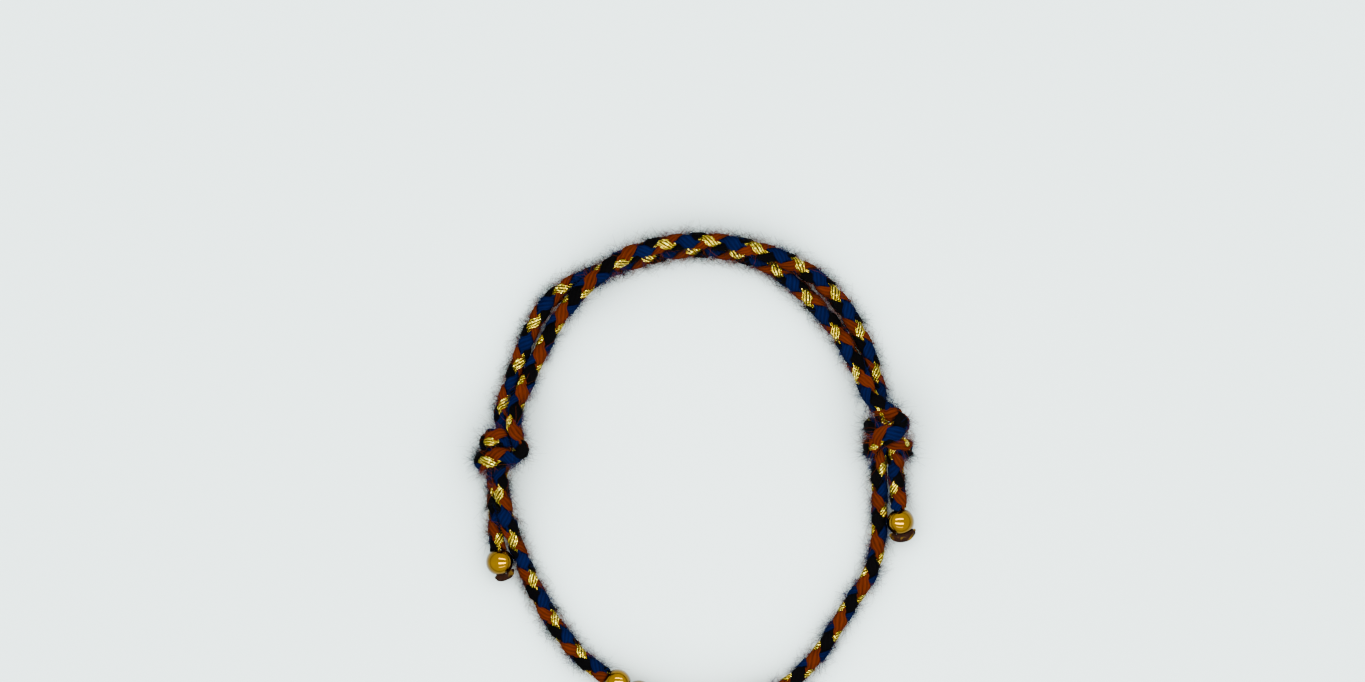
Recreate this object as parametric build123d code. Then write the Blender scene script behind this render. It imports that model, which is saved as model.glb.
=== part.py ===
from build123d import *

import math
import os

# Adjustable cord bracelet: one braided cord, two sliding knots and nine round beads.
# Millimetres, +Z up, lying flat as it rests on a table. The origin is on the
# table, under the middle of the loop. +Y runs from the beads across the hollow
# to the doubled stretch, which closes the loop at the back of the wrist.

# Driving sizes
cord_diameter = 2.2          # the loose braid
knot_cord_diameter = 1.65    # the braid drawn tight in a knot's turns
core_cord_diameter = 1.75    # the braid that a knot grips, and slides along
thread_diameter = 1.5        # the braid squeezed through a bead
bead_diameter = 4.0
bead_count = 7               # beads in the row that faces the room
bore_clearance = 0.15        # round the thread, inside a bead
rim_radius = 0.15            # the bead's edge where the bore comes out
bead_gap = 0.12              # from one bead's rim to the next, and to its stub
lead_gap = 0.14              # from the row's end beads to the loose braid
lead_height = 1.75           # the middle of the braid there
stub_thickness = 0.95        # the cord's melted end
left_stub_diameter = 2.9
right_stub_diameter = 3.3
left_stub_tilt = 13.0        # degrees, each stub leaning round its bead towards +X
right_stub_tilt = 6.0
arc_share = 0.45             # of the shorter run, taken by the arc at a corner
arc_depth = 0.23             # of the way from a corner to its neighbours' middle, where its arc passes

# Sizes that follow
bore_radius = thread_diameter / 2 + bore_clearance
bead_radius = bead_diameter / 2
rim_reach = bore_radius + rim_radius
bead_half_length = math.sqrt(bead_radius ** 2 - rim_reach ** 2)
bead_pitch = 2 * bead_half_length + bead_gap

# The row of beads: an even curve that spreads both ways from its middle
row_middle_across = -1.20
row_middle_back = -33.47
row_heading = -6.75          # degrees from +X, along the row at its middle
heading_step = 8.5           # from one bead to the next
left_lead_heading = 149.4    # the braid leaving the row at each end
right_lead_heading = 23.0


def moved(point, length, heading):
    """A point moved level by a length, along a heading in degrees from +X."""
    across, back, height = point
    angle = math.radians(heading)
    return (across + length * math.cos(angle), back + length * math.sin(angle), height)


def bead_row():
    """The row's bead centres, from left to right."""
    centres = [(0.0, 0.0, bead_radius)]
    for step in range(bead_count - 1):
        heading = row_heading + heading_step * (step - (bead_count - 2) / 2)
        centres.append(moved(centres[-1], bead_pitch, heading))
    left_of_middle = centres[(bead_count - 1) // 2]
    right_of_middle = centres[bead_count // 2]
    shift_across = row_middle_across - (left_of_middle[0] + right_of_middle[0]) / 2
    shift_back = row_middle_back - (left_of_middle[1] + right_of_middle[1]) / 2
    return [(across + shift_across, back + shift_back, height)
            for across, back, height in centres]


def lead_point(bead_centre, heading):
    """The braid's first point beyond the row. Its end face is half way there."""
    across, back, _ = moved(bead_centre, 2 * (bead_half_length + lead_gap), heading)
    return (across, back, lead_height)


row = bead_row()
left_lead = lead_point(row[0], left_lead_heading)
right_lead = lead_point(row[-1], right_lead_heading)

# The cord's route, in order from the left tail's bead to the right tail's bead:
# the points that the centre line of each stretch turns at
left_tail = [
    (-28.44, -10.58, bead_radius), (-28.58, -9.38, bead_radius), (-28.76, -7.44, 1.35),
    (-28.83, -5.25, 1.12), (-28.87, -3.07, 1.10), (-28.93, -1.18, 1.10),
]
left_knot = [
    (-29.01, 0.20, 1.30), (-29.11, 1.44, 2.20), (-29.19, 2.60, 2.85),
    (-29.43, 3.62, 3.05), (-30.02, 4.35, 3.50), (-30.12, 5.22, 4.15),
    (-29.43, 5.81, 4.65), (-28.24, 5.81, 4.85), (-26.93, 5.30, 4.60),
    (-25.67, 4.64, 3.75), (-25.43, 3.99, 2.30), (-26.35, 3.43, 0.95),
    (-28.17, 2.92, 0.86), (-29.77, 2.52, 0.86), (-30.82, 2.27, 1.90),
    (-30.99, 2.34, 3.45), (-30.03, 2.68, 4.70), (-28.46, 3.01, 4.85),
    (-26.86, 3.04, 4.85), (-25.70, 3.29, 4.90), (-24.95, 4.10, 5.15),
    (-25.08, 5.15, 5.50), (-25.77, 6.10, 5.75), (-26.09, 7.26, 5.10),
]
top_strand = [
    (-26.10, 8.57, 4.20), (-25.81, 10.02, 3.40), (-25.26, 11.63, 2.70),
    (-24.46, 13.44, 2.15), (-23.59, 15.41, 1.75), (-22.60, 17.52, 1.45),
    (-21.43, 19.92, 1.30), (-19.95, 22.54, 1.40), (-18.20, 25.01, 1.90),
    (-16.31, 27.05, 2.70), (-14.35, 28.87, 3.25), (-12.31, 30.54, 3.40),
    (-9.98, 32.07, 3.30), (-7.36, 33.16, 3.15), (-4.60, 33.84, 3.05),
    (-1.83, 34.24, 3.05), (0.93, 34.41, 3.05), (3.70, 34.25, 3.00),
    (6.53, 33.74, 2.95), (9.37, 33.04, 2.90), (12.21, 32.07, 2.60),
    (14.97, 30.79, 1.75), (17.66, 29.11, 1.20), (19.92, 27.12, 1.12),
    (21.88, 24.72, 1.12), (23.56, 21.96, 1.12), (25.01, 18.90, 1.12),
    (26.10, 15.77, 1.20), (26.76, 13.08, 1.55),
]
right_knot_core = [
    (27.19, 10.90, 2.10), (27.44, 9.01, 2.50), (27.50, 7.11, 2.68),
    (27.53, 5.22, 2.70), (27.40, 3.55, 2.66),
]
right_side = [
    (27.02, 1.73, 2.40), (26.97, -0.60, 1.90), (27.09, -3.22, 1.50),
    (27.09, -6.13, 1.25), (26.95, -9.18, 1.12), (26.54, -11.80, 1.10),
    (25.59, -14.42, 1.10), (24.07, -16.75, 1.10), (22.39, -19.15, 1.10),
    (20.79, -21.84, 1.10), (19.12, -24.60, 1.12), (17.30, -26.93, 1.20),
    (15.34, -28.97, 1.40), right_lead,
]
left_side = [
    left_lead, (-16.90, -25.80, 1.30),
    (-19.20, -23.00, 1.10), (-20.89, -20.46, 1.10), (-22.42, -17.69, 1.10),
    (-23.80, -14.86, 1.15), (-24.96, -12.12, 1.25), (-26.10, -9.33, 1.95),
    (-26.93, -6.71, 2.65), (-27.59, -4.23, 3.12), (-28.02, -1.91, 3.40),
]
left_knot_core = [
    (-28.10, 0.13, 3.50), (-27.59, 1.80, 3.30), (-27.34, 3.48, 2.90),
    (-27.34, 5.22, 2.70), (-27.66, 6.97, 2.60),
]
under_strand = [
    (-27.95, 8.86, 2.35), (-27.59, 10.75, 1.80), (-26.86, 12.72, 1.35),
    (-26.06, 14.97, 1.15), (-25.22, 17.37, 1.10), (-24.31, 19.92, 1.10),
    (-23.18, 22.39, 1.10), (-21.84, 24.57, 1.10), (-20.17, 26.47, 1.10),
    (-18.13, 27.99, 1.10), (-15.80, 29.09, 1.10), (-13.33, 29.96, 1.10),
    (-10.71, 30.76, 1.10), (-7.94, 31.63, 1.10), (-5.18, 32.43, 1.10),
    (-2.27, 32.94, 1.10), (0.79, 33.16, 1.10), (3.84, 32.94, 1.10),
    (6.90, 32.36, 1.10), (9.81, 31.38, 1.10), (12.50, 29.89, 1.10),
    (15.04, 27.78, 1.10), (17.37, 25.52, 1.10), (19.63, 22.97, 1.15),
    (21.59, 20.28, 1.35), (23.12, 17.52, 1.85), (24.28, 14.97, 2.70),
    (25.16, 12.86, 3.60),
]
right_knot = [
    (26.18, 10.97, 4.30), (27.34, 9.88, 4.70), (28.58, 9.30, 4.90),
    (29.57, 9.09, 5.00), (30.10, 8.28, 5.20), (29.93, 7.33, 5.60),
    (28.98, 6.71, 6.05), (27.85, 6.20, 6.30), (26.76, 5.49, 5.95),
    (25.84, 4.71, 4.60), (25.56, 4.13, 3.00), (25.93, 3.84, 1.50),
    (27.05, 3.77, 0.86), (28.50, 3.84, 0.86), (29.89, 3.84, 1.20),
    (31.02, 3.99, 2.20), (31.05, 4.38, 3.60), (30.03, 4.86, 4.60),
    (28.87, 5.37, 4.90), (27.78, 6.02, 4.45), (26.76, 6.75, 4.42),
    (25.81, 7.33, 3.50), (25.67, 7.51, 2.10), (26.54, 7.33, 0.95),
    (27.78, 6.97, 0.86), (28.87, 6.39, 1.20), (29.42, 5.44, 2.10),
    (29.33, 4.35, 2.95), (29.25, 3.19, 3.10),
]
right_tail = [
    (29.47, 1.95, 2.85), (29.45, 0.71, 2.45), (29.50, -0.74, 2.10),
    (29.64, -2.27, 1.95), (29.84, -3.65, bead_radius), (29.95, -4.73, bead_radius),
]

# The stretches in the route's order, each with its own diameter
stretches = [
    ("left_tail", cord_diameter, left_tail),
    ("left_knot", knot_cord_diameter, left_knot),
    ("top_strand", cord_diameter, top_strand),
    ("right_knot_core", core_cord_diameter, right_knot_core),
    ("right_side", cord_diameter, right_side),
    ("bead_thread", thread_diameter, row[::-1]),
    ("left_side", cord_diameter, left_side),
    ("left_knot_core", core_cord_diameter, left_knot_core),
    ("under_strand", cord_diameter, under_strand),
    ("right_knot", knot_cord_diameter, right_knot),
    ("right_tail", cord_diameter, right_tail),
]


def corner_radii(points):
    """Each corner's arc: as large as its two runs allow."""
    radii = []
    for before, corner, after in zip(points, points[1:], points[2:]):
        arriving = corner - before
        leaving = after - corner
        turn = math.radians(arriving.get_angle(leaving))
        shorter = min(arriving.length, leaving.length)
        radii.append(arc_share * shorter / math.tan(turn / 2))
    return radii


def tube(path_points, radii, diameter):
    """A round tube along straight runs joined by tangent arcs, and its path's length."""
    path = FilletPolyline(*path_points, radius=radii)
    start = Plane(origin=path @ 0, z_dir=path % 0)
    solid = sweep(start * Circle(diameter / 2), path=path)
    return solid, path.length


def cord_tubes():
    """One tube for each stretch. Two that follow each other meet face to face.

    A stretch begins and ends half way along the run to its neighbour.
    """
    route = [Vector(*point) for _, _, points in stretches for point in points]
    radii = corner_radii(route)
    tubes = {}
    total = 0.0
    first = 0
    for name, diameter, points in stretches:
        last = first + len(points) - 1
        path_points = route[first:last + 1]
        corners = radii[max(first - 1, 0):last]
        if first > 0:
            path_points = [(route[first - 1] + route[first]) / 2] + path_points
        if last < len(route) - 1:
            path_points = path_points + [(route[last] + route[last + 1]) / 2]
        solid, length = tube(path_points, corners, diameter)
        expected = math.pi * diameter ** 2 / 4 * length
        print(f"{name}: {length:.1f} mm long, volume {solid.volume / expected:.4f} of section x length,",
              f"arc radii {min(corners):.2f} to {max(corners):.1f} mm")
        tubes[name] = solid
        total += length
        first = last + 1
    print(f"whole cord: {total:.1f} mm between the tails' beads")
    return tubes


def bead(centre, axis):
    """A round bead drilled along axis, its bore's edges rounded."""
    ball = Sphere(bead_radius)
    drilled = ball - Cylinder(bore_radius, 2 * bead_diameter)
    mouths = drilled.edges().filter_by(GeomType.CIRCLE).filter_by(
        lambda edge: abs(edge.radius - bore_radius) < rim_radius / 2)
    rounded = fillet(mouths, rim_radius)
    return Plane(origin=centre, z_dir=axis) * rounded


def row_beads():
    """The row's beads, each where the thread's arc passes its corner."""
    line = [Vector(*point) for point in [left_lead, *row, right_lead]]
    beads = {}
    for number in range(1, bead_count + 1):
        before, corner, after = line[number - 1:number + 2]
        inward = (before + after) / 2 - corner
        beads[f"row_bead_{number}"] = bead(corner + inward * arc_depth, after - before)
    return beads


def tail_end(end_point, point_before, stub_diameter, stub_tilt):
    """The bead on a tail, and the cord's melted end that keeps it there.

    The stub's neck fills the bore and meets the tail's end face. Its flattened
    disc lies against the bead, a little round it from the bore's mouth.
    """
    end = Vector(*end_point)
    axis = (end - Vector(*point_before)).normalized()
    centre = end + axis * (bead_half_length + bead_gap)
    disc_axis = axis.rotate(Axis.Z, stub_tilt)
    disc_reach = bead_radius + bead_gap / 2 + stub_thickness / 2
    neck_length = bead_half_length + bead_gap + disc_reach
    neck = Cylinder(thread_diameter / 2, neck_length,
                    align=(Align.CENTER, Align.CENTER, Align.MIN))
    disc = Cylinder(stub_diameter / 2, stub_thickness)
    disc = fillet(disc.edges().filter_by(GeomType.CIRCLE), stub_thickness * arc_share)
    stub = Plane(origin=end, z_dir=axis) * neck
    stub += Plane(origin=centre + disc_axis * disc_reach, z_dir=disc_axis) * disc
    return bead(centre, axis), stub


os.makedirs("parts", exist_ok=True)
nodes = cord_tubes()
nodes.update(row_beads())
nodes["left_tail_bead"], nodes["left_end_stub"] = tail_end(
    left_tail[0], left_tail[1], left_stub_diameter, left_stub_tilt)
nodes["right_tail_bead"], nodes["right_end_stub"] = tail_end(
    right_tail[-1], right_tail[-2], right_stub_diameter, right_stub_tilt)
for name, solid in nodes.items():
    export_step(solid, f"parts/{name}.step")
print(len(nodes), "nodes")
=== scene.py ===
import math
from itertools import accumulate

import bpy
import numpy as np
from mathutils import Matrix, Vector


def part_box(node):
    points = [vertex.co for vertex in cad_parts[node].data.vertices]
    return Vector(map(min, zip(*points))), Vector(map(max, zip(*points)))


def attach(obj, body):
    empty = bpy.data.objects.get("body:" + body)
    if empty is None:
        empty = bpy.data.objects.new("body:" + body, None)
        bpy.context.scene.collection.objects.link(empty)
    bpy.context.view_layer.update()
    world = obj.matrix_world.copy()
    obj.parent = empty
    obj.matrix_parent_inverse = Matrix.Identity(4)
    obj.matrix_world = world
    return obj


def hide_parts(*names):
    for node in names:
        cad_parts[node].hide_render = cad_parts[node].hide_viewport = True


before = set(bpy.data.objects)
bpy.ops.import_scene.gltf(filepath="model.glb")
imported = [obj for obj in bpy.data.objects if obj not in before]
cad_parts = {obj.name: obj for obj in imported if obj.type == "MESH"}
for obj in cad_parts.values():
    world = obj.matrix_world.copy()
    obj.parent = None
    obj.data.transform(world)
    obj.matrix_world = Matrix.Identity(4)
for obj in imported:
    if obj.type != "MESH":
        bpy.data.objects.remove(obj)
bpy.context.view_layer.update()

# A braided cord bracelet, lying flat: four strands of yarn plaited round each other,
# two sliding knots, nine round brass beads and the cord's two melted ends.
# Metres throughout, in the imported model's frame. mm turns a length in millimetres to metres.
mm = 0.001
body = "root"
up = np.array([0.0, 0.0, 1.0])
fullTurn = 2 * math.pi


# Camera: straight above the table

view = {
    "across": -1.615 * mm,     # what the picture's middle looks at
    "back": 19.77 * mm,
    "height": 0.9,
    "widthSeen": 198.6 * mm,   # at the height of the beads' middles
    "levelSeen": 2.0 * mm,
    "sensor": 36.0,
}


def makeCamera():
    camera = bpy.data.cameras.new("camera")
    camera.sensor_width = view["sensor"]
    camera.lens = view["sensor"] * (view["height"] - view["levelSeen"]) / view["widthSeen"]
    camera.clip_start = 0.01
    holder = bpy.data.objects.new("camera", camera)
    holder.location = (view["across"], view["back"], view["height"])
    bpy.context.collection.objects.link(holder)
    bpy.context.scene.camera = holder


makeCamera()
print("camera set")


# Route: the row of beads, and the line that the cord follows through it and the knots

beads = {
    "count": 7,
    "radius": 2.0 * mm,
    "thread": 1.5 * mm,        # the cord where it is squeezed through them
    "clearance": 0.15 * mm,    # between that cord and the bore
    "rim": 0.15 * mm,          # how round the rims of the bore are
    "gap": 0.12 * mm,          # from bead to bead
    "leadGap": 0.14 * mm,      # from an end bead to where the cord may turn
    "leadHeight": 1.75 * mm,   # the cord's middle just outside the row
    "middle": (-1.20 * mm, -33.47 * mm),
    "heading": -6.75,          # of the row's middle, in degrees, as the next three are
    "headingStep": 8.5,        # from one bead to the next
    "leftLead": 149.4,
    "rightLead": 23.0,
}
boreRadius = beads["thread"] / 2 + beads["clearance"]
rimReach = boreRadius + beads["rim"]
beadHalfLength = math.sqrt(beads["radius"] ** 2 - rimReach ** 2)
beadPitch = 2 * beadHalfLength + beads["gap"]


def moved(point, length, heading):
    angle = math.radians(heading)
    return point + length * np.array([math.cos(angle), math.sin(angle), 0.0])


def beadRow():
    # each bead one pitch on from the last, the heading turning by an even step
    centres = [np.array([0.0, 0.0, beads["radius"]])]
    for step in range(beads["count"] - 1):
        heading = beads["heading"] + beads["headingStep"] * (step - (beads["count"] - 2) / 2)
        centres.append(moved(centres[-1], beadPitch, heading))
    middle = (centres[(beads["count"] - 1) // 2] + centres[beads["count"] // 2]) / 2
    shift = np.array([*beads["middle"], middle[2]]) - middle
    return [centre + shift for centre in centres]


def leadPoint(centre, heading):
    point = moved(centre, 2 * (beadHalfLength + beads["leadGap"]), heading)
    return np.array([point[0], point[1], beads["leadHeight"]])


row = beadRow()
leftLead = leadPoint(row[0], beads["leftLead"])
rightLead = leadPoint(row[-1], beads["rightLead"])
beadMiddle = beads["radius"] / mm

# control points of the line, in millimetres, one list for each stretch of the cord
leftTail = [
    (-28.44, -10.58, beadMiddle), (-28.58, -9.38, beadMiddle), (-28.76, -7.44, 1.35),
    (-28.83, -5.25, 1.12), (-28.87, -3.07, 1.10), (-28.93, -1.18, 1.10),
]
leftKnot = [
    (-29.01, 0.20, 1.30), (-29.11, 1.44, 2.20), (-29.19, 2.60, 2.85),
    (-29.43, 3.62, 3.05), (-30.02, 4.35, 3.50), (-30.12, 5.22, 4.15),
    (-29.43, 5.81, 4.65), (-28.24, 5.81, 4.85), (-26.93, 5.30, 4.60),
    (-25.67, 4.64, 3.75), (-25.43, 3.99, 2.30), (-26.35, 3.43, 0.95),
    (-28.17, 2.92, 0.86), (-29.77, 2.52, 0.86), (-30.82, 2.27, 1.90),
    (-30.99, 2.34, 3.45), (-30.03, 2.68, 4.70), (-28.46, 3.01, 4.85),
    (-26.86, 3.04, 4.85), (-25.70, 3.29, 4.90), (-24.95, 4.10, 5.15),
    (-25.08, 5.15, 5.50), (-25.77, 6.10, 5.75), (-26.09, 7.26, 5.10),
]
topStrand = [
    (-26.10, 8.57, 4.20), (-25.81, 10.02, 3.40), (-25.26, 11.63, 2.70),
    (-24.46, 13.44, 2.15), (-23.59, 15.41, 1.75), (-22.60, 17.52, 1.45),
    (-21.43, 19.92, 1.30), (-19.95, 22.54, 1.40), (-18.20, 25.01, 1.90),
    (-16.31, 27.05, 2.70), (-14.35, 28.87, 3.25), (-12.31, 30.54, 3.40),
    (-9.98, 32.07, 3.30), (-7.36, 33.16, 3.15), (-4.60, 33.84, 3.05),
    (-1.83, 34.24, 3.05), (0.93, 34.41, 3.05), (3.70, 34.25, 3.00),
    (6.53, 33.74, 2.95), (9.37, 33.04, 2.90), (12.21, 32.07, 2.60),
    (14.97, 30.79, 1.75), (17.66, 29.11, 1.20), (19.92, 27.12, 1.12),
    (21.88, 24.72, 1.12), (23.56, 21.96, 1.12), (25.01, 18.90, 1.12),
    (26.10, 15.77, 1.20), (26.76, 13.08, 1.55),
]
rightKnotCore = [
    (27.19, 10.90, 2.10), (27.44, 9.01, 2.50), (27.50, 7.11, 2.68),
    (27.53, 5.22, 2.70), (27.40, 3.55, 2.66),
]
rightSide = [
    (27.02, 1.73, 2.40), (26.97, -0.60, 1.90), (27.09, -3.22, 1.50),
    (27.09, -6.13, 1.25), (26.95, -9.18, 1.12), (26.54, -11.80, 1.10),
    (25.59, -14.42, 1.10), (24.07, -16.75, 1.10), (22.39, -19.15, 1.10),
    (20.79, -21.84, 1.10), (19.12, -24.60, 1.12), (17.30, -26.93, 1.20),
    (15.34, -28.97, 1.40),
]
leftSide = [
    (-16.90, -25.80, 1.30), (-19.20, -23.00, 1.10), (-20.89, -20.46, 1.10),
    (-22.42, -17.69, 1.10), (-23.80, -14.86, 1.15), (-24.96, -12.12, 1.25),
    (-26.10, -9.33, 1.95), (-26.93, -6.71, 2.65), (-27.59, -4.23, 3.12),
    (-28.02, -1.91, 3.40),
]
leftKnotCore = [
    (-28.10, 0.13, 3.50), (-27.59, 1.80, 3.30), (-27.34, 3.48, 2.90),
    (-27.34, 5.22, 2.70), (-27.66, 6.97, 2.60),
]
underStrand = [
    (-27.95, 8.86, 2.35), (-27.59, 10.75, 1.80), (-26.86, 12.72, 1.35),
    (-26.06, 14.97, 1.15), (-25.22, 17.37, 1.10), (-24.31, 19.92, 1.10),
    (-23.18, 22.39, 1.10), (-21.84, 24.57, 1.10), (-20.17, 26.47, 1.10),
    (-18.13, 27.99, 1.10), (-15.80, 29.09, 1.10), (-13.33, 29.96, 1.10),
    (-10.71, 30.76, 1.10), (-7.94, 31.63, 1.10), (-5.18, 32.43, 1.10),
    (-2.27, 32.94, 1.10), (0.79, 33.16, 1.10), (3.84, 32.94, 1.10),
    (6.90, 32.36, 1.10), (9.81, 31.38, 1.10), (12.50, 29.89, 1.10),
    (15.04, 27.78, 1.10), (17.37, 25.52, 1.10), (19.63, 22.97, 1.15),
    (21.59, 20.28, 1.35), (23.12, 17.52, 1.85), (24.28, 14.97, 2.70),
    (25.16, 12.86, 3.60),
]
rightKnot = [
    (26.18, 10.97, 4.30), (27.34, 9.88, 4.70), (28.58, 9.30, 4.90),
    (29.57, 9.09, 5.00), (30.10, 8.28, 5.20), (29.93, 7.33, 5.60),
    (28.98, 6.71, 6.05), (27.85, 6.20, 6.30), (26.76, 5.49, 5.95),
    (25.84, 4.71, 4.60), (25.56, 4.13, 3.00), (25.93, 3.84, 1.50),
    (27.05, 3.77, 0.86), (28.50, 3.84, 0.86), (29.89, 3.84, 1.20),
    (31.02, 3.99, 2.20), (31.05, 4.38, 3.60), (30.03, 4.86, 4.60),
    (28.87, 5.37, 4.90), (27.78, 6.02, 4.45), (26.76, 6.75, 4.42),
    (25.81, 7.33, 3.50), (25.67, 7.51, 2.10), (26.54, 7.33, 0.95),
    (27.78, 6.97, 0.86), (28.87, 6.39, 1.20), (29.42, 5.44, 2.10),
    (29.33, 4.35, 2.95), (29.25, 3.19, 3.10),
]
rightTail = [
    (29.47, 1.95, 2.85), (29.45, 0.71, 2.45), (29.50, -0.74, 2.10),
    (29.64, -2.27, 1.95), (29.84, -3.65, beadMiddle), (29.95, -4.73, beadMiddle),
]

toTheRow = leftTail + leftKnot + topStrand + rightKnotCore + rightSide
fromTheRow = leftSide + leftKnotCore + underStrand + rightKnot + rightTail
route = np.vstack([np.array(toTheRow) * mm, rightLead, row[::-1], leftLead,
                   np.array(fromTheRow) * mm])


def splineLine(points):
    # the smooth line of a spline whose control points are the route's points
    curve = bpy.data.curves.new("routeLine", "CURVE")
    curve.dimensions = "3D"
    spline = curve.splines.new("NURBS")
    spline.points.add(len(points) - 1)
    spline.points.foreach_set("co", np.c_[points, np.ones(len(points))].ravel())
    spline.order_u = 3
    spline.use_endpoint_u = True
    spline.resolution_u = 12
    holder = bpy.data.objects.new("routeLine", curve)
    bpy.context.collection.objects.link(holder)
    line = bpy.data.meshes.new_from_object(holder)
    found = np.empty(len(line.vertices) * 3)
    line.vertices.foreach_get("co", found)
    bpy.data.objects.remove(holder)
    bpy.data.curves.remove(curve)
    bpy.data.meshes.remove(line)
    return found.reshape(-1, 3)


def unit(vectors):
    return vectors / np.maximum(np.linalg.norm(vectors, axis=-1, keepdims=True), 1e-12)


def dot(a, b):
    return (a * b).sum(axis=-1, keepdims=True)


def smoothed(values, window):
    # a running mean, its ends held
    half = window // 2
    padded = np.pad(values, half, mode="edge")
    return np.convolve(padded, np.full(2 * half + 1, 1 / (2 * half + 1)), "valid")


braid = {
    "rings": 1640,             # along the cord
    "around": 42,              # points of a strand's section
    "radius": 1.1 * mm,        # the loose braid, table to top
    "outward": 0.5,            # a strand's mean distance from the middle, as a share of the radius
    "swing": 0.25,             # how far it moves in and out
    "linger": 0.30,            # how much slower it turns where it lies on top
    "thickSwing": 0.10,        # how much flatter a strand is where it crosses another
    "wideSwing": 0.10,         # and how much wider
    "fibreRadius": 0.6,        # of the round that the fibres' pattern is laid on, in millimetres
    "smoothing": 9,            # rings over which marks and spread are evened out
    "sizeSmoothing": 3,
    "pressReach": 0.55 * mm,   # how near another strand must be for the yarn's painted shade
}

# Where along the cord the blue strand has made how many turns, and which way its
# column of the braid leans, in degrees from straight up towards the right of travel
braidMarks = [
    # distance, turns, lean
    (0.0, -6.78, 40), (1.6, -6.5, 40), (3.1, -6.25, 40), (4.9, -6.0, 35), (7.1, -5.75, 35),
    (11.7, -5.0, 300),
    (16.3, -4.25, 205), (17.8, -4.0, 205), (19.3, -3.75, 205), (20.6, -3.5, 208),
    (22.2, -3.25, 208),
    (33.5, -1.5, 35), (35.0, -1.25, 32), (36.8, -1.0, 40), (38.5, -0.72, 75),
    (40.7, -0.28, 100), (42.4, 0.0, 116), (44.2, 0.25, 103),
    (50.8, 1.25, 98), (57.3, 2.25, 94), (61.1, 2.75, 84), (64.3, 3.25, 78),
    (67.7, 3.75, 68), (70.8, 4.25, 62), (76.4, 5.0, 28), (79.7, 5.5, 5),
    (82.9, 6.0, 10), (86.1, 6.5, 0), (89.5, 7.0, -6), (93.0, 7.5, -20),
    (96.4, 8.0, -30), (99.6, 8.5, -25), (103.2, 9.0, -26), (106.3, 9.5, -22),
    (109.5, 10.0, -25), (112.9, 10.5, -24), (116.0, 11.0, -30), (119.4, 11.5, -27),
    (138.2, 14.25, -57), (141.0, 14.75, -65), (144.6, 15.25, -80), (148.0, 15.75, -90),
    (151.2, 16.25, -93), (154.2, 16.75, -88), (157.3, 17.25, -92), (160.8, 17.75, -82),
    (164.2, 18.25, -84), (167.4, 18.75, -82), (199.5, 23.5, -128), (202.6, 24.0, -132),
    (205.7, 24.5, -140), (208.9, 25.0, -138), (212.1, 25.5, -142), (215.5, 26.0, -152),
    (218.6, 26.5, -172), (221.9, 27.0, -196), (225.6, 27.5, -204), (229.0, 28.0, -210),
    (232.0, 28.5, -222), (239.0, 29.5, -202), (242.2, 30.0, -172), (245.6, 30.5, -160),
    (248.7, 31.0, -170), (251.8, 31.5, -183),
    (254.9, 32.0, -186), (258.2, 32.5, -198), (261.4, 33.0, -184), (294.0, 38.0, -186),
    (300.2, 39.0, -165), (306.9, 40.0, -150), (314.0, 41.0, -128), (315.8, 41.25, -122),
    (317.6, 41.5, -125), (319.6, 41.78, -122), (320.9, 42.0, -95), (322.2, 42.32, -62),
    (323.7, 42.7, -50), (325.7, 43.0, -35), (327.6, 43.25, -35), (329.2, 43.5, -35),
    (330.8, 43.75, -35), (341.0, 45.5, 48), (342.8, 45.75, 60), (345.2, 46.0, 50),
    (347.0, 46.25, 48),
    (356.8, 47.75, 48), (358.3, 48.0, 48), (359.6, 48.25, 50), (361.2, 48.5, 50),
    (362.6, 48.75, 55), (364.2, 49.05, 55),
]

# The braid's radius along the cord, in millimetres: loose, gripped in a knot, drawn
# through the beads. spread widens it across the turns of a knot.
braidSizes = [
    # distance, radius, spread
    (0.0, 1.05, 1.0), (0.7, 1.08, 1.0), (9.4, 1.14, 1.0), (11.0, 0.92, 1.1),
    (14.0, 0.94, 1.20), (17.0, 0.96, 1.30), (19.5, 0.96, 1.28), (21.0, 0.96, 1.16),
    (31.5, 0.98, 1.25), (32.7, 0.98, 1.45), (34.0, 0.98, 1.42), (36.0, 0.98, 1.35),
    (38.0, 1.00, 1.20), (41.0, 1.02, 1.10), (43.8, 1.14, 1.0), (96.0, 1.14, 1.0),
    (99.5, 1.21, 1.0), (109.0, 1.21, 1.0), (113.0, 1.14, 1.0), (121.8, 1.14, 1.0),
    (123.4, 0.98, 1.0), (131.3, 0.98, 1.0), (132.9, 1.14, 1.0), (171.8, 1.14, 1.0),
    (172.6, 0.76, 1.0), (197.2, 0.76, 1.0), (198.0, 1.14, 1.0), (229.7, 1.14, 1.0),
    (231.3, 1.00, 1.0), (238.8, 1.00, 1.0), (240.4, 1.14, 1.0), (291.0, 1.14, 1.0),
    (295.0, 1.21, 1.0), (304.0, 1.21, 1.0), (308.0, 1.14, 1.0), (316.8, 1.14, 1.0),
    (319.5, 1.05, 1.22), (325.5, 1.04, 1.28), (330.0, 0.98, 1.22), (354.5, 0.98, 1.22),
    (357.6, 1.14, 1.0), (363.3, 1.14, 1.0), (364.2, 1.10, 1.0),
]
knotCentres = np.array([[-28.0, 4.2, 2.9], [28.3, 6.2, 3.1]]) * mm


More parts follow.
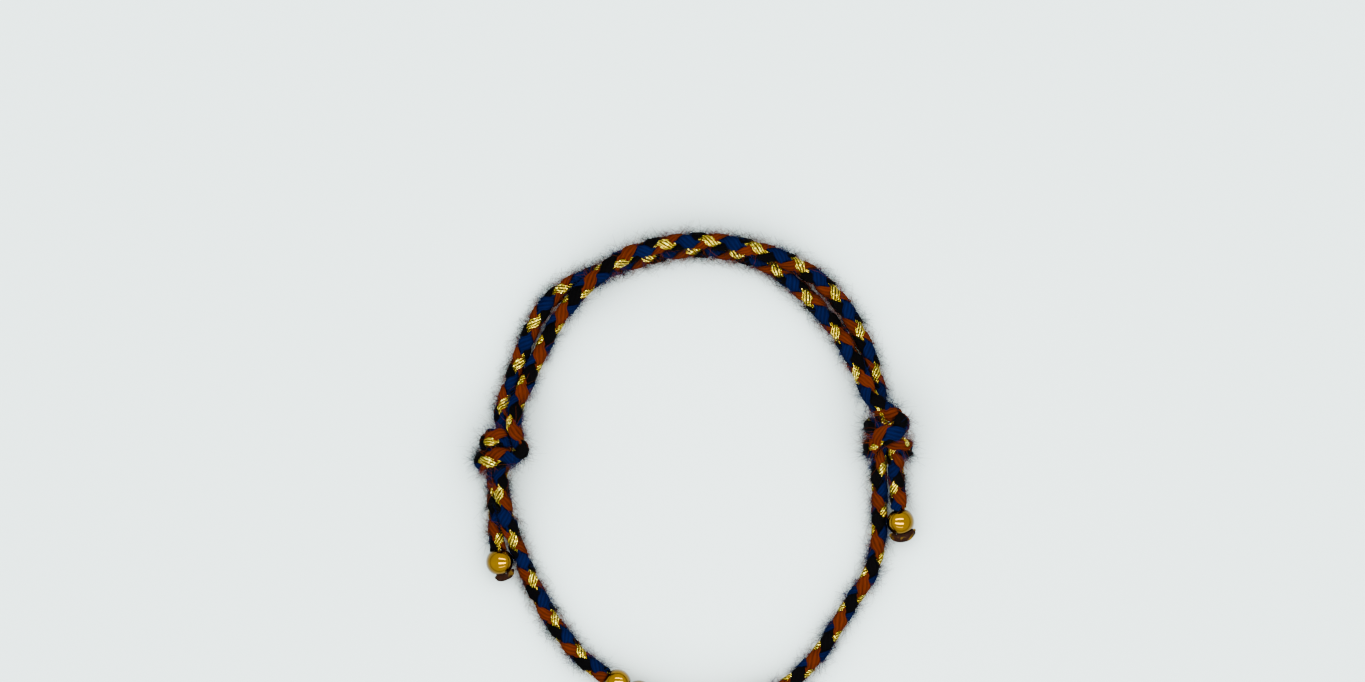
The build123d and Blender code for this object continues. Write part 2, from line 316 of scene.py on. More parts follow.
def makeLay():
    # The lay of the braid: rings an even step apart along the line, each with a frame
    # that doesn't twist about the line, then turned so that the marks are met.
    line = splineLine(route)
    along = np.r_[0, np.cumsum(np.linalg.norm(np.diff(line, axis=0), axis=1))]
    distance = np.linspace(0, along[-1], braid["rings"])
    centre = np.stack([np.interp(distance, along, line[:, axis]) for axis in range(3)], axis=1)
    tangent = unit(np.gradient(centre, axis=0))

    def carried(normal, direction):
        level = normal - (normal @ direction) * direction
        return level / math.sqrt(level @ level)

    normal = np.array(list(accumulate(tangent, carried, initial=carried(up, tangent[0]))))[1:]
    side = np.cross(tangent, normal)

    marks = np.array(braidMarks)
    at = np.searchsorted(distance, marks[:, 0] * mm).clip(0, len(distance) - 1)
    upAngle = np.arctan2(side[at] @ up, normal[at] @ up)
    steps = np.diff(upAngle + np.radians(marks[:, 2]))
    steps = (steps + math.pi) % fullTurn - math.pi
    lean = upAngle[0] + math.radians(marks[0, 2]) + np.r_[0, np.cumsum(steps)]
    window = braid["smoothing"]
    sizes = np.array(braidSizes)
    lay = {
        "distance": distance, "centre": centre,
        "tangent": tangent, "normal": normal, "side": side,
        "turns": smoothed(np.interp(distance, marks[:, 0] * mm, marks[:, 1]), window),
        "lean": smoothed(np.interp(distance, marks[:, 0] * mm, lean), window),
        "radius": smoothed(np.interp(distance, sizes[:, 0] * mm, sizes[:, 1] * mm),
                           braid["sizeSmoothing"]),
        "spread": smoothed(np.interp(distance, sizes[:, 0] * mm, sizes[:, 2]), window),
    }
    nearest = np.linalg.norm(centre[:, None] - knotCentres[None], axis=2).argmin(axis=1)
    outward = centre - knotCentres[nearest]
    outward[:, 1] = 0.0        # both knots are gripped round the line of Y
    outward = unit(outward - dot(outward, tangent) * tangent)
    lay["across"] = np.cross(tangent, outward)
    return lay


lay = makeLay()
print(f"route {lay['distance'][-1] / mm:.1f} mm long")


# Shader maths: a socket that takes part in expressions

def linear(red, green, blue):
    # a colour given as 0 to 255, as a shader needs it
    levels = np.array([red, green, blue]) / 255
    return (*np.where(levels <= 0.04045, levels / 12.92, ((levels + 0.055) / 1.055) ** 2.4), 1.0)


class Wire:
    def __init__(self, tree, socket=None):
        self.tree = tree
        self.socket = socket

    def node(self, kind, settings=None, output=0, **inputs):
        # any node: its settings first, then the values or links of its sockets,
        # a socket's name written without its spaces, or in0, in1 by its place
        made = self.tree.nodes.new(kind)
        for name, value in (settings or {}).items():
            setattr(made, name, value)
        for name, value in inputs.items():
            if name.startswith("in") and name[2:].isdigit():
                socket = made.inputs[int(name[2:])]
            else:
                socket = next(s for s in made.inputs if s.name.replace(" ", "") == name)
            if isinstance(value, Wire):
                self.tree.links.new(value.socket, socket)
            else:
                socket.default_value = value
        return Wire(self.tree, made.outputs[output] if made.outputs else None)

    def maths(self, operation, *values):
        return self.node("ShaderNodeMath", {"operation": operation},
                         **{f"in{place}": value for place, value in enumerate(values)})

    def __add__(self, other):
        return self.maths("ADD", self, other)

    def __sub__(self, other):
        return self.maths("SUBTRACT", self, other)

    def __rsub__(self, other):
        return self.maths("SUBTRACT", other, self)

    def __mul__(self, other):
        return self.maths("MULTIPLY", self, other)

    def __pow__(self, other):
        return self.maths("POWER", self, other)

    __radd__ = __add__
    __rmul__ = __mul__

    def mixed(self, dark, light):
        # a colour from dark to light as this value goes from 0 to 1
        return self.node("ShaderNodeMix", {"data_type": "RGBA"}, 2, in0=self, in6=dark, in7=light)

    def between(self, low, high, kind="SMOOTHSTEP"):
        # 0 at low and below it, 1 at high and above it
        return self.node("ShaderNodeMapRange", {"interpolation_type": kind},
                         Value=self, FromMin=low, FromMax=high)


def newMaterial(name):
    material = bpy.data.materials.new(name)
    material.use_nodes = True
    material.node_tree.nodes.clear()
    return material, Wire(material.node_tree)


def finishMaterial(wire, **inputs):
    shader = wire.node("ShaderNodeBsdfPrincipled", **inputs)
    wire.node("ShaderNodeOutputMaterial", in0=shader)


# Mesh from a grid of points

def addPiece(name, vertices, quads, triangles, material, fibre=None):
    mesh = bpy.data.meshes.new(name)
    corners = np.r_[np.ravel(quads), np.ravel(triangles)].astype(np.int32)
    sizes = np.r_[np.full(len(quads), 4), np.full(len(triangles), 3)]
    mesh.vertices.add(len(vertices))
    mesh.vertices.foreach_set("co", np.ravel(vertices))
    mesh.loops.add(len(corners))
    mesh.loops.foreach_set("vertex_index", corners)
    mesh.polygons.add(len(sizes))
    mesh.polygons.foreach_set("loop_start", np.r_[0, np.cumsum(sizes)[:-1]].astype(np.int32))
    mesh.update(calc_edges=True)
    mesh.polygons.foreach_set("use_smooth", np.ones(len(sizes), dtype=bool))
    if fibre is not None:
        layer = mesh.attributes.new("fibre", "FLOAT_VECTOR", "POINT")
        layer.data.foreach_set("vector", np.ravel(fibre))
    mesh.materials.append(material)
    piece = bpy.data.objects.new(name, mesh)
    bpy.context.collection.objects.link(piece)
    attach(piece, body)
    return piece


def tubeFaces(rings, around):
    # quads between rings, and a fan to one more vertex at each end
    here = np.arange(rings - 1)[:, None] * around + np.arange(around)[None]
    onward = np.roll(here, -1, axis=1)
    quads = np.stack([here, onward, onward + around, here + around], axis=-1).reshape(-1, 4)
    first = np.arange(around)
    last = first + (rings - 1) * around
    startTip = rings * around
    fans = [np.stack([np.roll(first, -1), first, np.full(around, startTip)], axis=1),
            np.stack([last, np.roll(last, -1), np.full(around, startTip + 1)], axis=1)]
    return quads, np.vstack(fans)


# Strands of yarn

random = np.random.default_rng(7)

# how unevenly hand-laid yarn lies: how far each drifts, and over what length of cord
drift = {
    "angle": (0.05, 3 * mm),
    "thick": (0.05, 4 * mm),
    "wide": (0.05, 4 * mm),
    "ply": (0.3, 5 * mm),
}


def waver(amount, spacing):
    # an uneven drift along the cord: a random value at each spacing, joined smoothly
    length = lay["distance"][-1]
    knots = np.arange(0, length + spacing, spacing)
    values = random.uniform(-amount, amount, len(knots))
    window = int(spacing / length * braid["rings"]) | 1
    return smoothed(np.interp(lay["distance"], knots, values), window)


def strandSurface(yarn):
    # The strand winds round the line at an angle and a reach that swing with its turns,
    # reach = radius x (outward + swing x over x cos 2 turned), where over is 1 for the two
    # strands that wind one way and -1 for the other two. It winds slower where it is
    # outermost. Its section is an ellipse with a ridge for each thread, turning slowly.
    turned = fullTurn * lay["turns"]
    swing = yarn["over"] * np.cos(2 * turned)
    winding = turned - yarn["over"] * braid["linger"] / 2 * np.sin(2 * turned)
    angle = lay["lean"] + yarn["over"] * winding + yarn["start"] + waver(*drift["angle"])
    fuller = np.ones(braid["rings"])
    for at, length, shift, grow in yarn.get("bulges", ()):
        near = np.exp(-((lay["distance"] / mm - at) / length) ** 2)
        angle = angle + near * math.radians(shift)
        fuller = fuller + near * grow
    radial = np.cos(angle)[:, None] * lay["normal"] + np.sin(angle)[:, None] * lay["side"]
    reach = lay["radius"] * (braid["outward"] + braid["swing"] * swing) * fuller
    offset = radial * reach[:, None]
    strandCentre = lay["centre"] + offset
    heading = unit(np.gradient(strandCentre, axis=0))
    outwards = unit(radial - dot(radial, heading) * heading)
    sideways = np.cross(heading, outwards)
    crossing = np.cos(4 * turned)
    thick = lay["radius"] * (yarn["thick"] - braid["thickSwing"] * crossing)
    thick = thick * (fuller + waver(*drift["thick"]))
    wide = lay["radius"] * (yarn["wide"] + braid["wideSwing"] * crossing)
    wide = wide * (fuller + waver(*drift["wide"]))
    turn = np.arange(braid["around"]) / braid["around"] * fullTurn
    ply = turn[None] - yarn["twist"] / mm * lay["distance"][:, None] + waver(*drift["ply"])[:, None]
    ridge = np.abs(np.cos(yarn["threads"] / 2 * ply)) ** yarn["roundness"]
    swell = 1 - yarn["groove"] * (1 - ridge)
    section = ((thick[:, None] * np.cos(turn) * swell)[..., None] * outwards[:, None]
               + (wide[:, None] * np.sin(turn) * swell)[..., None] * sideways[:, None])
    away = offset[:, None] + section
    across = lay["across"][:, None]
    away = away + dot(away, across) * across * (lay["spread"] - 1)[:, None, None]
    surface = lay["centre"][:, None] + away
    surface[..., 2] = np.maximum(surface[..., 2], 0.0)    # the table presses it flat
    fibre = np.stack([np.cos(ply) * braid["fibreRadius"], np.sin(ply) * braid["fibreRadius"],
                      np.broadcast_to(lay["distance"][:, None] / mm, ply.shape)], axis=-1)
    return surface, fibre


def threadRidges(wire, yarn):
    # 1 along the top of each thread and 0 in the grooves, from the way round the strand
    fibre = wire.node("ShaderNodeAttribute", {"attribute_name": "fibre"}, 1)
    across = wire.node("ShaderNodeSeparateXYZ", {}, 0, Vector=fibre)
    over = wire.node("ShaderNodeSeparateXYZ", {}, 1, Vector=fibre)
    ply = wire.maths("ARCTAN2", over, across) * (yarn["threads"] / 2)
    return fibre, wire.maths("ABSOLUTE", wire.maths("COSINE", ply))


def yarnMaterial(yarn):
    # wool: fine fibres along the threads, with painted shade in the grooves between them
    material, wire = newMaterial(yarn["name"])
    fibre, ridge = threadRidges(wire, yarn)
    drawn = wire.node("ShaderNodeMapping", {}, in0=fibre, Scale=(9.0, 9.0, 0.9))
    fibres = wire.node("ShaderNodeTexNoise", {}, Vector=drawn, Scale=1.6, Detail=4.0, Roughness=0.65)
    patches = wire.node("ShaderNodeTexNoise", {}, Vector=fibre, Scale=0.55, Detail=2.0)
    # painted shade: the ridge term makes the colour darker in the grooves between threads
    light = ridge ** 1.5 * 0.3 + fibres * 0.8 + patches * 0.5 - 0.33
    light = wire.node("ShaderNodeClamp", {}, in0=light)
    # painted shade: the yarn's colour is darkened where another strand is near, in the creases between
    # strands
    paintedShadeMask = wire.node("ShaderNodeAmbientOcclusion", {"samples": 6}, 1, Distance=braid["pressReach"])
    paintedShadeMask = paintedShadeMask.between(0.5, 0.95)
    colour = (light * paintedShadeMask).mixed(linear(*yarn["deep"]), linear(*yarn["bright"]))
    bump = wire.node("ShaderNodeBump", {}, Height=fibres, Strength=0.55, Distance=0.06 * mm)
    finishMaterial(wire, BaseColor=colour, Roughness=0.9, SpecularIORLevel=0.01, Normal=bump)
    return material


def tinselMaterial(yarn):
    # flat metal filaments side by side, crimped so that single spots sparkle, with painted
    # glints of near-white colour on some spots and dark gaps between them
    material, wire = newMaterial(yarn["name"])
    fibre, ridge = threadRidges(wire, yarn)
    crimps = wire.node("ShaderNodeTexNoise", {}, Vector=fibre, Scale=4.5, Detail=1.0)
    metal = ridge.between(0.5, 0.75)
    # painted glint: near-white colour on spots where the crimps are highest
    flash = crimps.between(0.55, 0.7)
    bright = flash.mixed(linear(*yarn["bright"]), linear(*yarn["flash"]))
    colour = metal.mixed(linear(*yarn["deep"]), bright)
    bump = wire.node("ShaderNodeBump", {}, Height=crimps + ridge * 0.5, Strength=1.0, Distance=0.2 * mm)
    finishMaterial(wire, BaseColor=colour, Metallic=metal * 0.95, Roughness=0.5 - metal * 0.25,
                   SpecularIORLevel=0.02, Normal=bump)
    return material


wool = {"threads": 9, "twist": 0.30, "wide": 0.80, "thick": 0.42, "groove": 0.09, "roundness": 0.8}

# Colours are 0 to 255. Sizes are shares of the braid's radius, twist is in radians a
# millimetre. A bulge is a place where the yarn is squeezed or stands out in a knot.
yarns = [
    {"name": "blueYarn", "piece": "blueStrand", "over": 1, "start": 0.0, **wool,
     "deep": (0, 0, 4), "bright": (0, 12, 54), "loose": (14, 32, 76)},
    {"name": "goldTinsel", "piece": "goldStrand", "over": 1, "start": math.pi,
     "threads": 8, "twist": 0.30, "wide": 0.55, "thick": 0.36, "groove": 0.30, "roundness": 0.7,
     # the last of these colours is a painted glint
     "deep": (5, 2, 0), "bright": (124, 102, 3), "flash": (244, 226, 84),
     # distance and length along the cord, turn to the right in degrees, how much fuller
     "bulges": [(39.2, 1.1, 0, -0.4), (319.8, 1.6, 0, -0.25), (322.9, 1.1, 0, -0.4),
                (328.6, 1.5, 0, -0.25), (340.3, 1.6, 0, -0.3)]},
    {"name": "blackYarn", "piece": "blackStrand", "over": -1, "start": 0.0, **wool,
     "deep": (0, 0, 0), "bright": (3, 2, 3), "loose": (32, 31, 34),
     "bulges": [(38.9, 1.2, 62, 0.14), (323.1, 1.2, -72, 0.14)]},
    {"name": "rustYarn", "piece": "rustStrand", "over": -1, "start": math.pi, **wool,
     "deep": (12, 2, 0), "bright": (88, 29, 1), "loose": (104, 46, 18)},
]


def makeStrand(yarn):
    surface, fibre = strandSurface(yarn)
    tips = surface[[0, -1]].mean(axis=1)
    vertices = np.vstack([surface.reshape(-1, 3), tips])
    quads, fans = tubeFaces(braid["rings"], braid["around"])
    made = tinselMaterial(yarn) if "flash" in yarn else yarnMaterial(yarn)
    fibre = np.vstack([fibre.reshape(-1, 3), fibre[[0, -1]].mean(axis=1)])
    piece = addPiece(yarn["piece"], vertices, quads, fans, made, fibre)
    yarn["surface"] = surface
    return piece


strands = [makeStrand(yarn) for yarn in yarns]
print("four strands laid")


# Fuzz: single fibres that stand off the yarn

fuzz = {
    "hairs": 20000,
    "joints": 3,
    "thickness": 0.016 * mm,
    "taper": 0.5,                    # how much thinner the tip is
    "shortest": 0.3 * mm,
    "longest": 2.0 * mm,
    "mostlyShort": 1.4,              # above 1, short hairs are more common than long ones
    "stray": 0.5,                    # how far hairs lean and curl
    "rise": (0.4, 1.1),              # how much of its length a hair stands off
    "flatter": 0.5,                  # they stand up less than they stand out
    "margin": 4,                     # rings at each end without hairs
    "tries": 20,                     # places drawn for each hair
    "spare": 3,                      # hairs worked out for each one that is kept
    "skin": 0.8,                     # they grow further out than this share of the radius
    "steepest": (0.1, 0.9),          # none leave more steeply than a value from this range
    "lowest": 0.25 * mm,             # none grow below this height
    "bare": (172 * mm, 198 * mm),    # none grow between the beads
    "cordHalf": 1.15 * mm,           # a hair that ends nearer the line is over the cord
    "across": 0.10,                  # share kept of those that end over the cord
    "overFloor": 0.02 * mm,
    "shares": ((0, 0.30), (2, 0.42), (3, 0.28)),    # which yarn, and its share of the hairs
}


def hairFaces(joints):
    # a three-sided tube, each end closed by one triangle
    here = np.arange(joints - 1)[:, None] * 3 + np.arange(3)[None]
    onward = np.roll(here, -1, axis=1)
    quads = np.stack([here, onward, onward + 3, here + 3], axis=-1).reshape(-1, 4)
    last = 3 * (joints - 1)
    return quads, np.array([[2, 1, 0], [last, last + 1, last + 2]])


def fuzzMaterial(yarn):
    # a single fibre lets light through, so it is lighter than the yarn
    material, wire = newMaterial(yarn["name"] + "Fuzz")
    place = wire.node("ShaderNodeTexCoord", {}, 3)
    tone = wire.node("ShaderNodeTexNoise", {}, Vector=place, Scale=900.0)
    colour = tone.mixed(linear(*yarn["bright"]), linear(*yarn["loose"]))
    finishMaterial(wire, BaseColor=colour, Roughness=0.9, SpecularIORLevel=0.01)
    return material


def hairRoots(yarn, count):
    # places on the strand's outer skin, clear of the table and of the beads
    ring = random.integers(fuzz["margin"], braid["rings"] - fuzz["margin"], count * fuzz["tries"])
    root = yarn["surface"][ring, random.integers(0, braid["around"], len(ring))]
    away = root - lay["centre"][ring]
    distance = lay["distance"][ring]
    standing = np.linalg.norm(away, axis=1) > fuzz["skin"] * lay["radius"][ring]
    standing &= np.abs(unit(away)[:, 2]) < random.uniform(*fuzz["steepest"], len(ring))
    standing &= root[:, 2] > fuzz["lowest"]
    standing &= (distance < fuzz["bare"][0]) | (distance > fuzz["bare"][1])
    chosen = np.flatnonzero(standing)[:fuzz["spare"] * count]
    return ring[chosen], root[chosen], unit(away[chosen] * (1, 1, fuzz["flatter"]))


def hairLines(ring, root, away):
    # Each hair leaves the skin outwards, leans along the cord and curls: point = root
    # + length x (t rise outwards + (t / 2 + t squared) lean along + t squared curl sideways)
    def perHair(values):
        return values[:, None, None]

    along = lay["tangent"][ring]
    sideways = np.cross(along, away)
    t = np.linspace(0, 1, fuzz["joints"])[None, :, None]
    longer = random.random(len(ring)) ** fuzz["mostlyShort"]
    length = perHair(fuzz["shortest"] + (fuzz["longest"] - fuzz["shortest"]) * longer)
    lean = perHair(random.normal(0, fuzz["stray"], len(ring)))
    curl = perHair(random.normal(0, fuzz["stray"], len(ring)))
    rise = perHair(random.uniform(*fuzz["rise"], len(ring)))
    return root[:, None] + length * (t * rise * away[:, None]
                                     + (t * 0.5 + t ** 2) * lean * along[:, None]
                                     + t ** 2 * curl * sideways[:, None])


def makeFuzz(yarn, share):
    # Most hairs that would end over the cord, seen from above, are left out. A hair's
    # section is a triangle across its heading, which shrinks towards the tip.
    wanted = int(fuzz["hairs"] * share)
    ring, root, away = hairRoots(yarn, wanted)
    points = hairLines(ring, root, away)
    gap = np.linalg.norm(points[:, None, -1, :2] - lay["centre"][None, ::4, :2], axis=2).min(axis=1)
    clear = (gap > fuzz["cordHalf"]) | (random.random(len(gap)) < fuzz["across"])
    kept = np.flatnonzero(clear)[:wanted]
    points, away = points[kept], away[kept]
    sideways = np.cross(lay["tangent"][ring[kept]], away)
    heading = unit(np.gradient(points, axis=1))
    first = unit(np.cross(heading, sideways[:, None] + 0.3 * away[:, None]))
    second = np.cross(heading, first)
    turn = np.arange(3) / 3 * fullTurn
    thickness = fuzz["thickness"] * (1 - fuzz["taper"] * np.linspace(0, 1, fuzz["joints"]))
    skin = points[:, :, None] + thickness[:, None, None] * (
        np.cos(turn)[:, None] * first[:, :, None] + np.sin(turn)[:, None] * second[:, :, None])
    skin[..., 2] = np.maximum(skin[..., 2], fuzz["overFloor"])
    quads, caps = hairFaces(fuzz["joints"])
    start = np.arange(len(kept))[:, None, None] * 3 * fuzz["joints"]
    piece = addPiece(yarn["piece"] + "Fuzz", skin.reshape(-1, 3), (quads[None] + start).reshape(-1, 4),
                     (caps[None] + start).reshape(-1, 3), fuzzMaterial(yarn))
    return piece


fuzzPieces = [makeFuzz(yarns[place], share) for place, share in fuzz["shares"]]
print("fuzz on three strands")

cordNodes = ["left_tail", "left_knot", "top_strand", "right_knot_core", "right_side", "bead_thread",
             "left_side", "left_knot_core", "under_strand", "right_knot", "right_tail"]
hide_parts(*cordNodes)


# Beads

brass = {
    "bright": (114, 80, 0),
    "deep": (64, 42, 0),
    "steps": 64,               # over the ball, from rim to rim
    "rimSteps": 10,
    "boreSteps": 8,
    "spokes": 64,
}


def brassMaterial():
    material, wire = newMaterial("brass")
    place = wire.node("ShaderNodeTexCoord", {}, 3)
    clouds = wire.node("ShaderNodeTexNoise", {}, Vector=place, Scale=450.0, Detail=3.0)
    dust = wire.node("ShaderNodeTexNoise", {}, Vector=place, Scale=2600.0, Detail=2.0)
    colour = clouds.mixed(linear(*brass["deep"]), linear(*brass["bright"]))
    bump = wire.node("ShaderNodeBump", {}, Height=clouds + dust * 0.1, Strength=0.3, Distance=0.03 * mm)
    finishMaterial(wire, BaseColor=colour, Metallic=1.0, Roughness=clouds * 0.06 + dust * 0.03 + 0.01,
                   Normal=bump)
    return material


def beadProfile():
    # round the ball from rim to rim, round each rim, then back along the bore:
    # pairs of (place along the axis, distance from it)
    ball, rim = beads["radius"], beads["rim"]
    rimAlong = math.sqrt((ball - rim) ** 2 - rimReach ** 2)
    edge = math.atan2(rimReach, rimAlong)
    out = np.linspace(edge, math.pi - edge, brass["steps"])
    ballLine = np.stack([-ball * np.cos(out), ball * np.sin(out)], axis=1)
    turn = np.linspace(edge, -math.pi / 2, brass["rimSteps"])[1:]
    rimLine = np.stack([rimAlong + rim * np.cos(turn), rimReach + rim * np.sin(turn)], axis=1)
    through = np.linspace(rimAlong, -rimAlong, brass["boreSteps"])[1:-1]
    boreLine = np.stack([through, np.full(len(through), boreRadius)], axis=1)
    otherRim = (rimLine * (-1, 1))[::-1]
    return np.vstack([ballLine, rimLine, boreLine, otherRim])


def boxMiddle(node):
    return np.array(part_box(node)).mean(axis=0)


def makeBead(node, axis, material):
    # the profile turned round the axis
    centre = boxMiddle(node)
    axis = unit(np.array(axis))
    first = unit(np.cross(axis, up))
    second = np.cross(axis, first)
    profile = beadProfile()
    turn = np.arange(brass["spokes"]) / brass["spokes"] * fullTurn
    wheel = np.cos(turn)[:, None] * first + np.sin(turn)[:, None] * second
    grid = centre + profile[:, None, :1] * axis + profile[:, None, 1:] * wheel[None]
    rows, spokes = grid.shape[:2]
    here = np.arange(rows * spokes).reshape(rows, spokes)
    onward = np.roll(here, -1, axis=1)
    quads = np.stack([here, np.roll(here, -1, axis=0), np.roll(onward, -1, axis=0), onward], axis=-1)
    name = "".join(word.capitalize() for word in node.split("_"))
    piece = addPiece(name[0].lower() + name[1:], grid.reshape(-1, 3), quads.reshape(-1, 4),
                     np.empty((0, 3)), material)
    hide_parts(node)


brassLook = brassMaterial()
rowLine = [leftLead, *row, rightLead]
for number in range(1, beads["count"] + 1):
    makeBead(f"row_bead_{number}", rowLine[number + 1] - rowLine[number - 1], brassLook)
leftAxis = route[0] - route[1]
rightAxis = route[-1] - route[-2]
makeBead("left_tail_bead", leftAxis, brassLook)
makeBead("right_tail_bead", rightAxis, brassLook)
print("nine beads")


# Melted ends

ends = {
    "deep": (4, 1, 0),
    "bright": (40, 15, 5),
    "gold": (96, 70, 14),      # tinsel melted into it
    "neck": 0.72 * mm,         # radius in the bore
    "neckDepth": 0.4,          # how far it goes in, as a share of half the bore
    "clearance": 0.03 * mm,    # between the melted cap and the ball
    "rim": 0.3,                # half the rim's height, as a share of the thickness
    "flat": 0.5,               # how high the cap is beside its width
    "onset": 0.3 * mm,         # how soon outside the bore it is flat and lumpy
    "lift": 0.08 * mm,         # how high the lumps are
    "push": 0.3,               # how far it keeps off the ball, as a share of the thickness
    "lobes": ((3, 0.05), (5, 0.035), (9, 0.02)),    # waves round the rim, and their height
    "neckSteps": 8,
    "faceSteps": 14,
    "rimSteps": 12,
    "backSteps": 26,
    "spokes": 72,
    "rows": [
        # node, axis, how far round the ball it reaches and how far it leans in degrees, thickness
        ("left_end_stub", leftAxis, 34.0, 17.0, 0.80 * mm),
        ("right_end_stub", rightAxis, 44.0, 6.0, 0.95 * mm),
    ],
}


def meltMaterial():
    material, wire = newMaterial("meltedEnd")
    place = wire.node("ShaderNodeTexCoord", {}, 3)
    flow = wire.node("ShaderNodeTexNoise", {}, Vector=place, Scale=1500.0, Detail=4.0)
    glints = wire.node("ShaderNodeTexNoise", {}, Vector=place, Scale=700.0)
    gold = glints.between(0.56, 0.66, "LINEAR")
    dark = flow.mixed(linear(*ends["deep"]), linear(*ends["bright"]))
    colour = gold.mixed(dark, linear(*ends["gold"]))
    bump = wire.node("ShaderNodeBump", {}, Height=flow, Strength=0.7, Distance=0.08 * mm)
    finishMaterial(wire, BaseColor=colour, Roughness=0.6 - flow * 0.2, SpecularIORLevel=0.015,
                   Normal=bump)
    return material


def endProfile(span, thickness):
    # The neck in the bore, a face that follows the ball, a round rim and a back that
    # bulges most in the middle: pairs of (place along the axis, distance from it)
    inside = beads["radius"] + ends["clearance"]
    foot = math.asin(ends["neck"] / inside)
    neckLine = np.linspace(-ends["neckDepth"] * beadHalfLength, inside * math.cos(foot) * 0.98,
                           ends["neckSteps"])
    neck = np.stack([neckLine, np.full(ends["neckSteps"], ends["neck"])], axis=1)
    face = np.linspace(foot, math.radians(span), ends["faceSteps"])
    turn = np.linspace(0, math.pi / 2, ends["rimSteps"])[1:-1]
    half = ends["rim"] * thickness
    edge = math.radians(span) + half / inside * np.sin(2 * turn)
    edgeReach = inside + half * (1 - np.cos(2 * turn))
    back = np.linspace(math.radians(span), 0.03, ends["backSteps"])
    backReach = inside + 2 * half + (thickness - 2 * half) * np.sqrt(1 - (back / back[0]) ** 2)
    angle = np.r_[face, edge, back]
    reach = np.r_[np.full(ends["faceSteps"], inside), edgeReach, backReach]
    return np.vstack([neck, np.stack([reach * np.cos(angle), reach * np.sin(angle)], axis=1)])


def makeEnd(node, axis, span, tilt, thickness, material):
    # The profile turned round the axis and pressed flat, lumpy from where it leaves the
    # bore: its width grows by 1 + the sum of height x sin (waves x turn + phase)
    axis = unit(axis)
    bead = boxMiddle(node.replace("end_stub", "tail_bead"))
    profile = endProfile(span, thickness)
    along, wide = profile[:, :1], profile[:, 1:]
    cap = np.clip((wide - ends["neck"]) / ends["onset"], 0, 1)
    cap[ends["neckSteps"] + ends["faceSteps"]:] = 1.0
    inside = beads["radius"] + ends["clearance"]
    outwards = np.clip((np.hypot(along, wide) - inside) / thickness, 0, 1) * cap
    first = unit(np.cross(axis, up))
    second = np.cross(axis, first)
    turn = np.arange(ends["spokes"]) / ends["spokes"] * fullTurn
    lobes = [tall * np.sin(waves * turn + phase)
             for (waves, tall), phase in zip(ends["lobes"], (1.1, tilt, 2 * tilt))]
    lump = 1 + cap * (lobes[0] + lobes[1] + lobes[2])
    swells = np.sin(4 * turn + 0.6) + np.sin(7 * turn + 2.0)
    lift = ends["lift"] * outwards * swells * (wide / wide.max())
    height = 1 - cap * (1 - ends["flat"])
    wheel = np.cos(turn)[:, None] * first + np.sin(turn)[:, None] * second * height[..., None]
    grid = axis * (along + lift)[..., None] + wheel * (wide * lump)[..., None]
    # the cap leans round the ball and stays outside it, the neck stays in the bore
    lean = cap * math.radians(tilt)
    x, y = grid[..., 0].copy(), grid[..., 1].copy()
    grid[..., 0] = x * np.cos(lean) - y * np.sin(lean)
    grid[..., 1] = x * np.sin(lean) + y * np.cos(lean)
    far = np.linalg.norm(grid, axis=2, keepdims=True)
    pushed = grid * np.maximum(1.0, (inside + outwards[..., None] * thickness * ends["push"]) / far)
    grid = np.where(cap[..., None] > 0, pushed, grid)
    grid += bead
    grid[..., 2] = np.maximum(grid[..., 2], 0.0)
    quads, fans = tubeFaces(len(grid), ends["spokes"])
    tips = np.array([grid[0].mean(axis=0), grid[-1].mean(axis=0)])
    name = "leftMeltedEnd" if node.startswith("left") else "rightMeltedEnd"
    piece = addPiece(name, np.vstack([grid.reshape(-1, 3), tips]), quads, fans, material)
    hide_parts(node)


meltLook = meltMaterial()
for values in ends["rows"]:
    makeEnd(*values, meltLook)
print("two melted ends")


# Floor and light

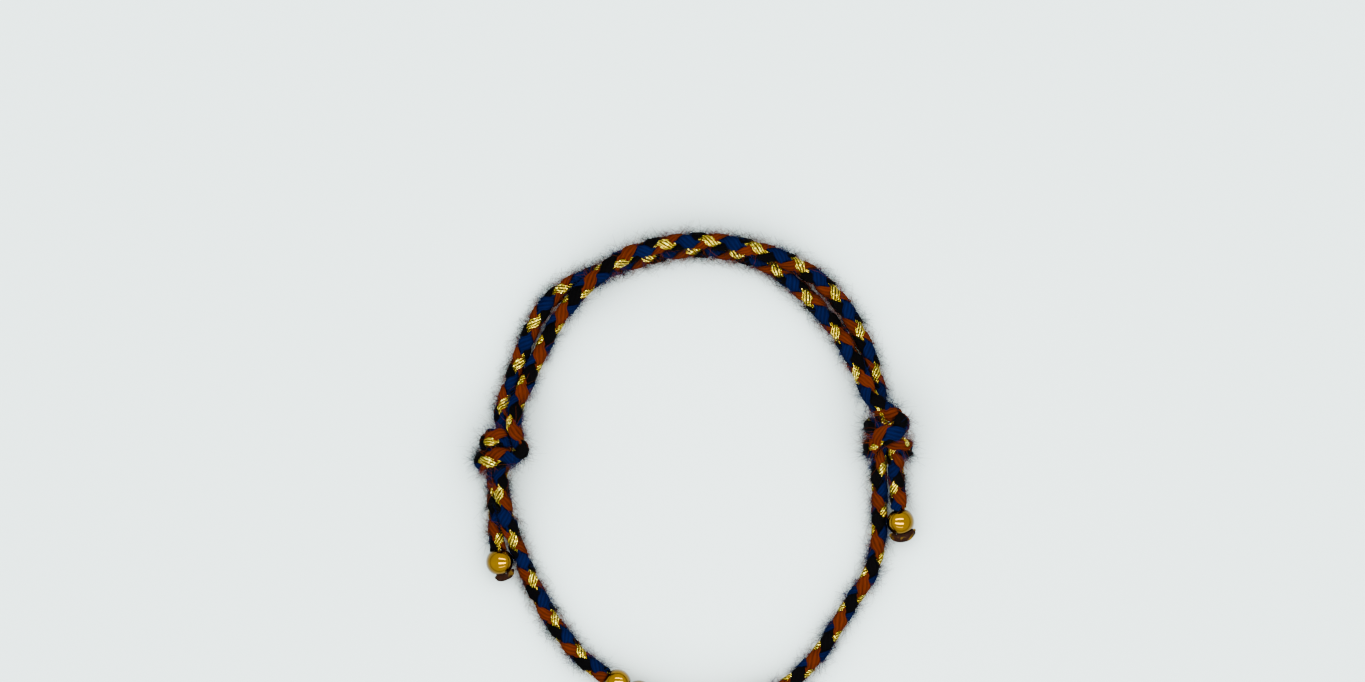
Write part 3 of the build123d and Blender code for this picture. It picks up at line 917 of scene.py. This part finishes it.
studio = {
    "floorHalf": 0.8,                 # metres
    "floorColour": (237, 247, 246),
    "nearColour": (176, 183, 181),    # close beside the cord, where less light gets in
    "nearReach": 9 * mm,
    "boxHeight": 60 * mm,             # the soft boxes that the metal mirrors
    "boxAcross": 10 * mm,
    "boxes": [
        # place along Y, width, watts
        (22 * mm, 10 * mm, 0.20),
        (-21 * mm, 12 * mm, 0.26),
        (-66 * mm, 12 * mm, 0.06),
    ],
    "boxLength": 88 * mm,
    "overheadFrom": 0.35,             # the sine of the height where the room is brightest
    "horizon": (0.42, 0.47, 0.46, 1.0),
    "overhead": (0.90, 1.0, 0.99, 1.0),
    "roomStrength": 4.15,
}


def makeFloor():
    half = studio["floorHalf"]
    mesh = bpy.data.meshes.new("floor")
    corners = [(-half, -half, 0.0), (half, -half, 0.0), (half, half, 0.0), (-half, half, 0.0)]
    mesh.from_pydata(corners, [], [(0, 1, 2, 3)])
    floor = bpy.data.objects.new("floor", mesh)
    bpy.context.collection.objects.link(floor)
    material, wire = newMaterial("paleFloor")
    place = wire.node("ShaderNodeTexCoord", {}, 3)
    grain = wire.node("ShaderNodeTexNoise", {}, Vector=place, Scale=260.0, Detail=3.0)
    bump = wire.node("ShaderNodeBump", {}, Height=grain, Strength=0.03, Distance=0.1 * mm)
    # painted shade: the floor's colour is darkened close beside the cord, where little of the room is
    # open
    paintedShadeMask = wire.node("ShaderNodeAmbientOcclusion", {"samples": 8}, 1, Distance=studio["nearReach"])
    paintedShadeMask = paintedShadeMask.between(0.45, 0.99, "LINEAR")
    colour = paintedShadeMask.mixed(linear(*studio["nearColour"]), linear(*studio["floorColour"]))
    finishMaterial(wire, BaseColor=colour, Roughness=0.75, Normal=bump)
    mesh.materials.append(material)


def makeLights():
    for back, width, power in studio["boxes"]:
        lamp = bpy.data.lights.new("softBox", "AREA")
        lamp.shape = "RECTANGLE"
        lamp.size = studio["boxLength"]
        lamp.size_y = width
        lamp.energy = power
        holder = bpy.data.objects.new("softBox", lamp)
        holder.location = (studio["boxAcross"], back, studio["boxHeight"])
        holder.visible_camera = False
        holder.visible_diffuse = False     # only for the glints, the room gives the soft light
        bpy.context.collection.objects.link(holder)
    world = bpy.data.worlds.new("room")
    world.use_nodes = True
    world.node_tree.nodes.clear()
    wire = Wire(world.node_tree)
    direction = wire.node("ShaderNodeTexCoord", {}, 0)
    height = wire.node("ShaderNodeSeparateXYZ", {}, 2, Vector=direction)
    colour = height.between(0.0, studio["overheadFrom"]).mixed(studio["horizon"], studio["overhead"])
    background = wire.node("ShaderNodeBackground", {}, Color=colour, Strength=studio["roomStrength"])
    wire.node("ShaderNodeOutputWorld", in0=background)
    bpy.context.scene.world = world


makeFloor()
makeLights()
print("floor and lights")
